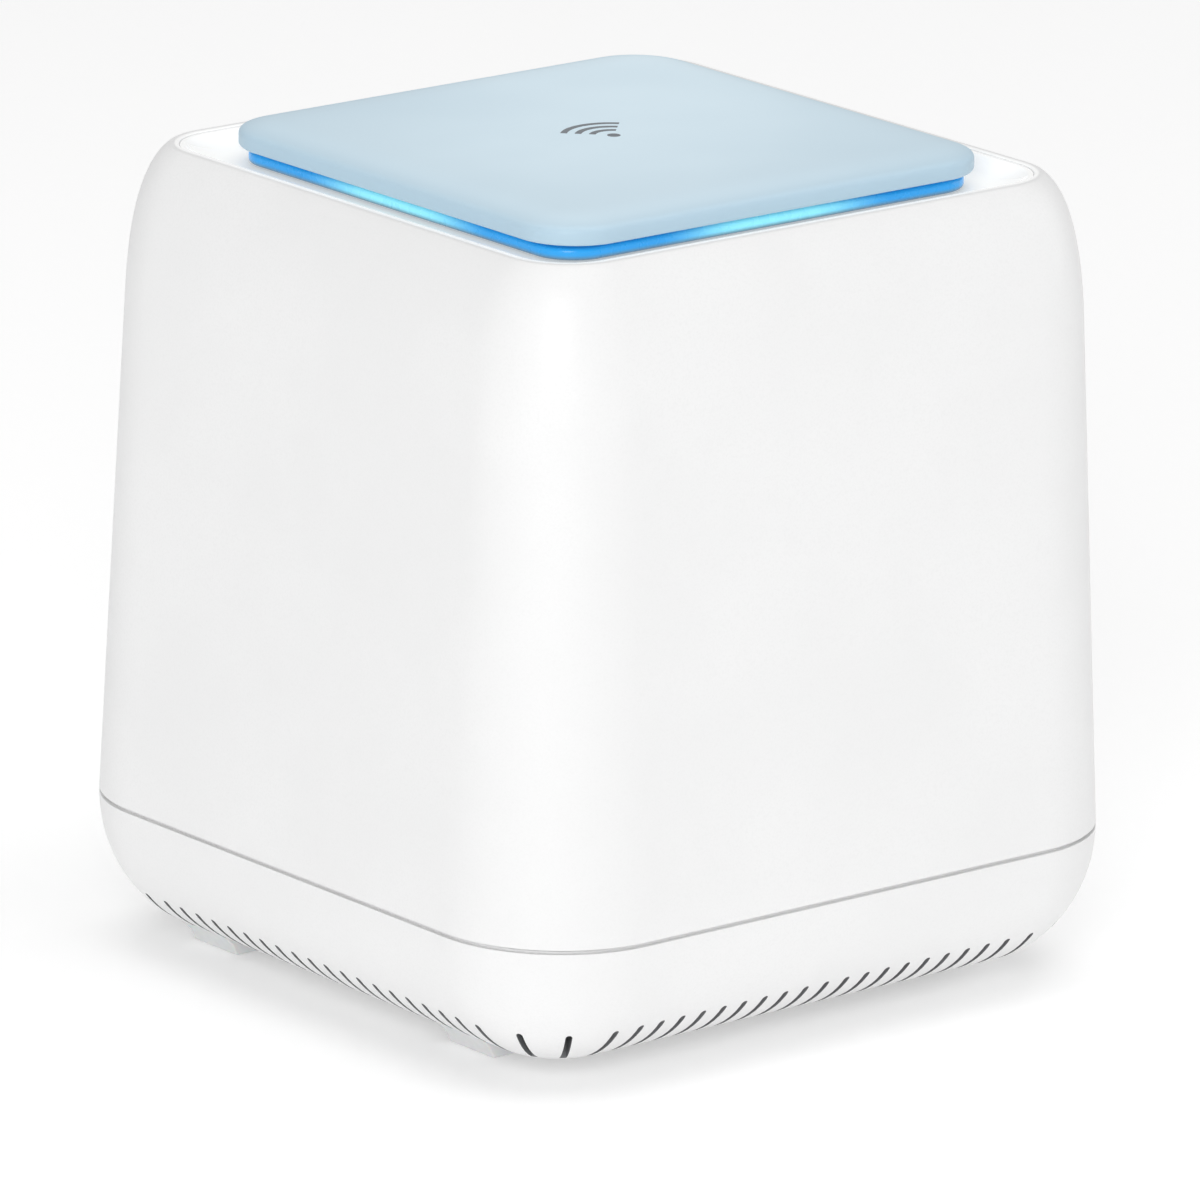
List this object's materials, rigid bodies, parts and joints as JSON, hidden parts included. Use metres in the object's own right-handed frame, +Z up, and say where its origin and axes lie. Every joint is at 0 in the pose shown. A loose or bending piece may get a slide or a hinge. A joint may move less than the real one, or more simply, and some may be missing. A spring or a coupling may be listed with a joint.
{
  "type": "wireless router",
  "caption": "Cube-shaped wireless mesh router: tapered white casing on a vented base, lit ring under a top plate, network and power sockets at the rear.",
  "frame": {"origin": "middle of the ground rectangle under the feet, at the height of the feet's rest faces", "axes": "+Z up; the front faces -Y; the network and power sockets face +Y; the feet stand near the -X and +X sides"},
  "size_m": [0.1, 0.1, 0.1075],
  "materials": {
    "casing": "fine satin moulded plastic, white",
    "tray": "glossy white moulding",
    "plate": "smooth pale-blue plastic",
    "light_guide": "clear light guide lit blue",
    "foot": "frosted translucent elastomer",
    "label": "blank printed film",
    "circuit_board": "green solder mask",
    "jack_shell": "tinned sheet steel",
    "black_plastic": "black moulded plastic",
    "steel": "plated steel",
    "aluminium": "plain aluminium",
    "thermal_pad": "soft silicone",
    "antenna_metal": "stamped brass",
    "cable": "cable jacket",
    "diode": "moulded diode package"
  },
  "bodies": {
    "root": {"antenna_back": "antenna_metal", "antenna_frame": "black_plastic", "antenna_front": "antenna_metal", "antenna_lead_back": "cable", "antenna_lead_front": "cable", "antenna_lead_left": "cable", "antenna_lead_right": "cable", "antenna_left": "antenna_metal", "antenna_right": "antenna_metal", "base_cover": "casing", "base_screw_1": "steel", "base_screw_2": "steel", "base_screw_3": "steel", "base_screw_4": "steel", "board_screw_1": "steel", "board_screw_2": "steel", "board_screw_3": "steel", "board_screw_4": "steel", "capacitor_1": "aluminium", "capacitor_2": "aluminium", "dc_jack": "black_plastic", "foot_left_front": "foot", "foot_left_rear": "foot", "foot_right_front": "foot", "foot_right_rear": "foot", "heat_sink": "aluminium", "heat_sink_pin_1": "black_plastic", "heat_sink_pin_2": "black_plastic", "inductor": "black_plastic", "lan_jack": "jack_shell", "led_1": "diode", "led_2": "diode", "led_3": "diode", "led_4": "diode", "led_board": "circuit_board", "led_board_screw_1": "steel", "led_board_screw_2": "steel", "light_ring": "light_guide", "main_board": "circuit_board", "port_panel": "casing", "processor_shield": "steel", "radio_shield": "steel", "rating_label": "label", "reset_switch": "steel", "ribbon_cable": "cable", "ribbon_socket_bottom": "casing", "ribbon_socket_top": "casing", "sync_switch": "steel", "thermal_pad": "thermal_pad", "top_plate": "plate", "top_tray": "tray", "transformer_1": "black_plastic", "transformer_2": "black_plastic", "upper_shell": "casing", "wan_jack": "jack_shell"},
    "sync_button": {"sync_button": "casing"},
    "sync_plunger": {"sync_plunger": "black_plastic"},
    "reset_plunger": {"reset_plunger": "black_plastic"}
  },
  "joints": [
    {"name": "sync_press", "type": "slide", "parent": "root", "child": "sync_button", "axis": [0, -1, 0], "range_m": [0, 0.0005], "stiffness_N_per_m": 300, "springref_m": -0.001},
    {"name": "sync_stem", "type": "slide", "parent": "root", "child": "sync_plunger", "axis": [0, -1, 0], "range_m": [0, 0.0005]},
    {"name": "reset_press", "type": "slide", "parent": "root", "child": "reset_plunger", "axis": [0, -1, 0], "range_m": [0, 0.0005], "stiffness_N_per_m": 300, "springref_m": -0.001}
  ],
  "couplings": [
    {"joint": "sync_stem", "follows": "sync_press", "ratio": 1}
  ]
}
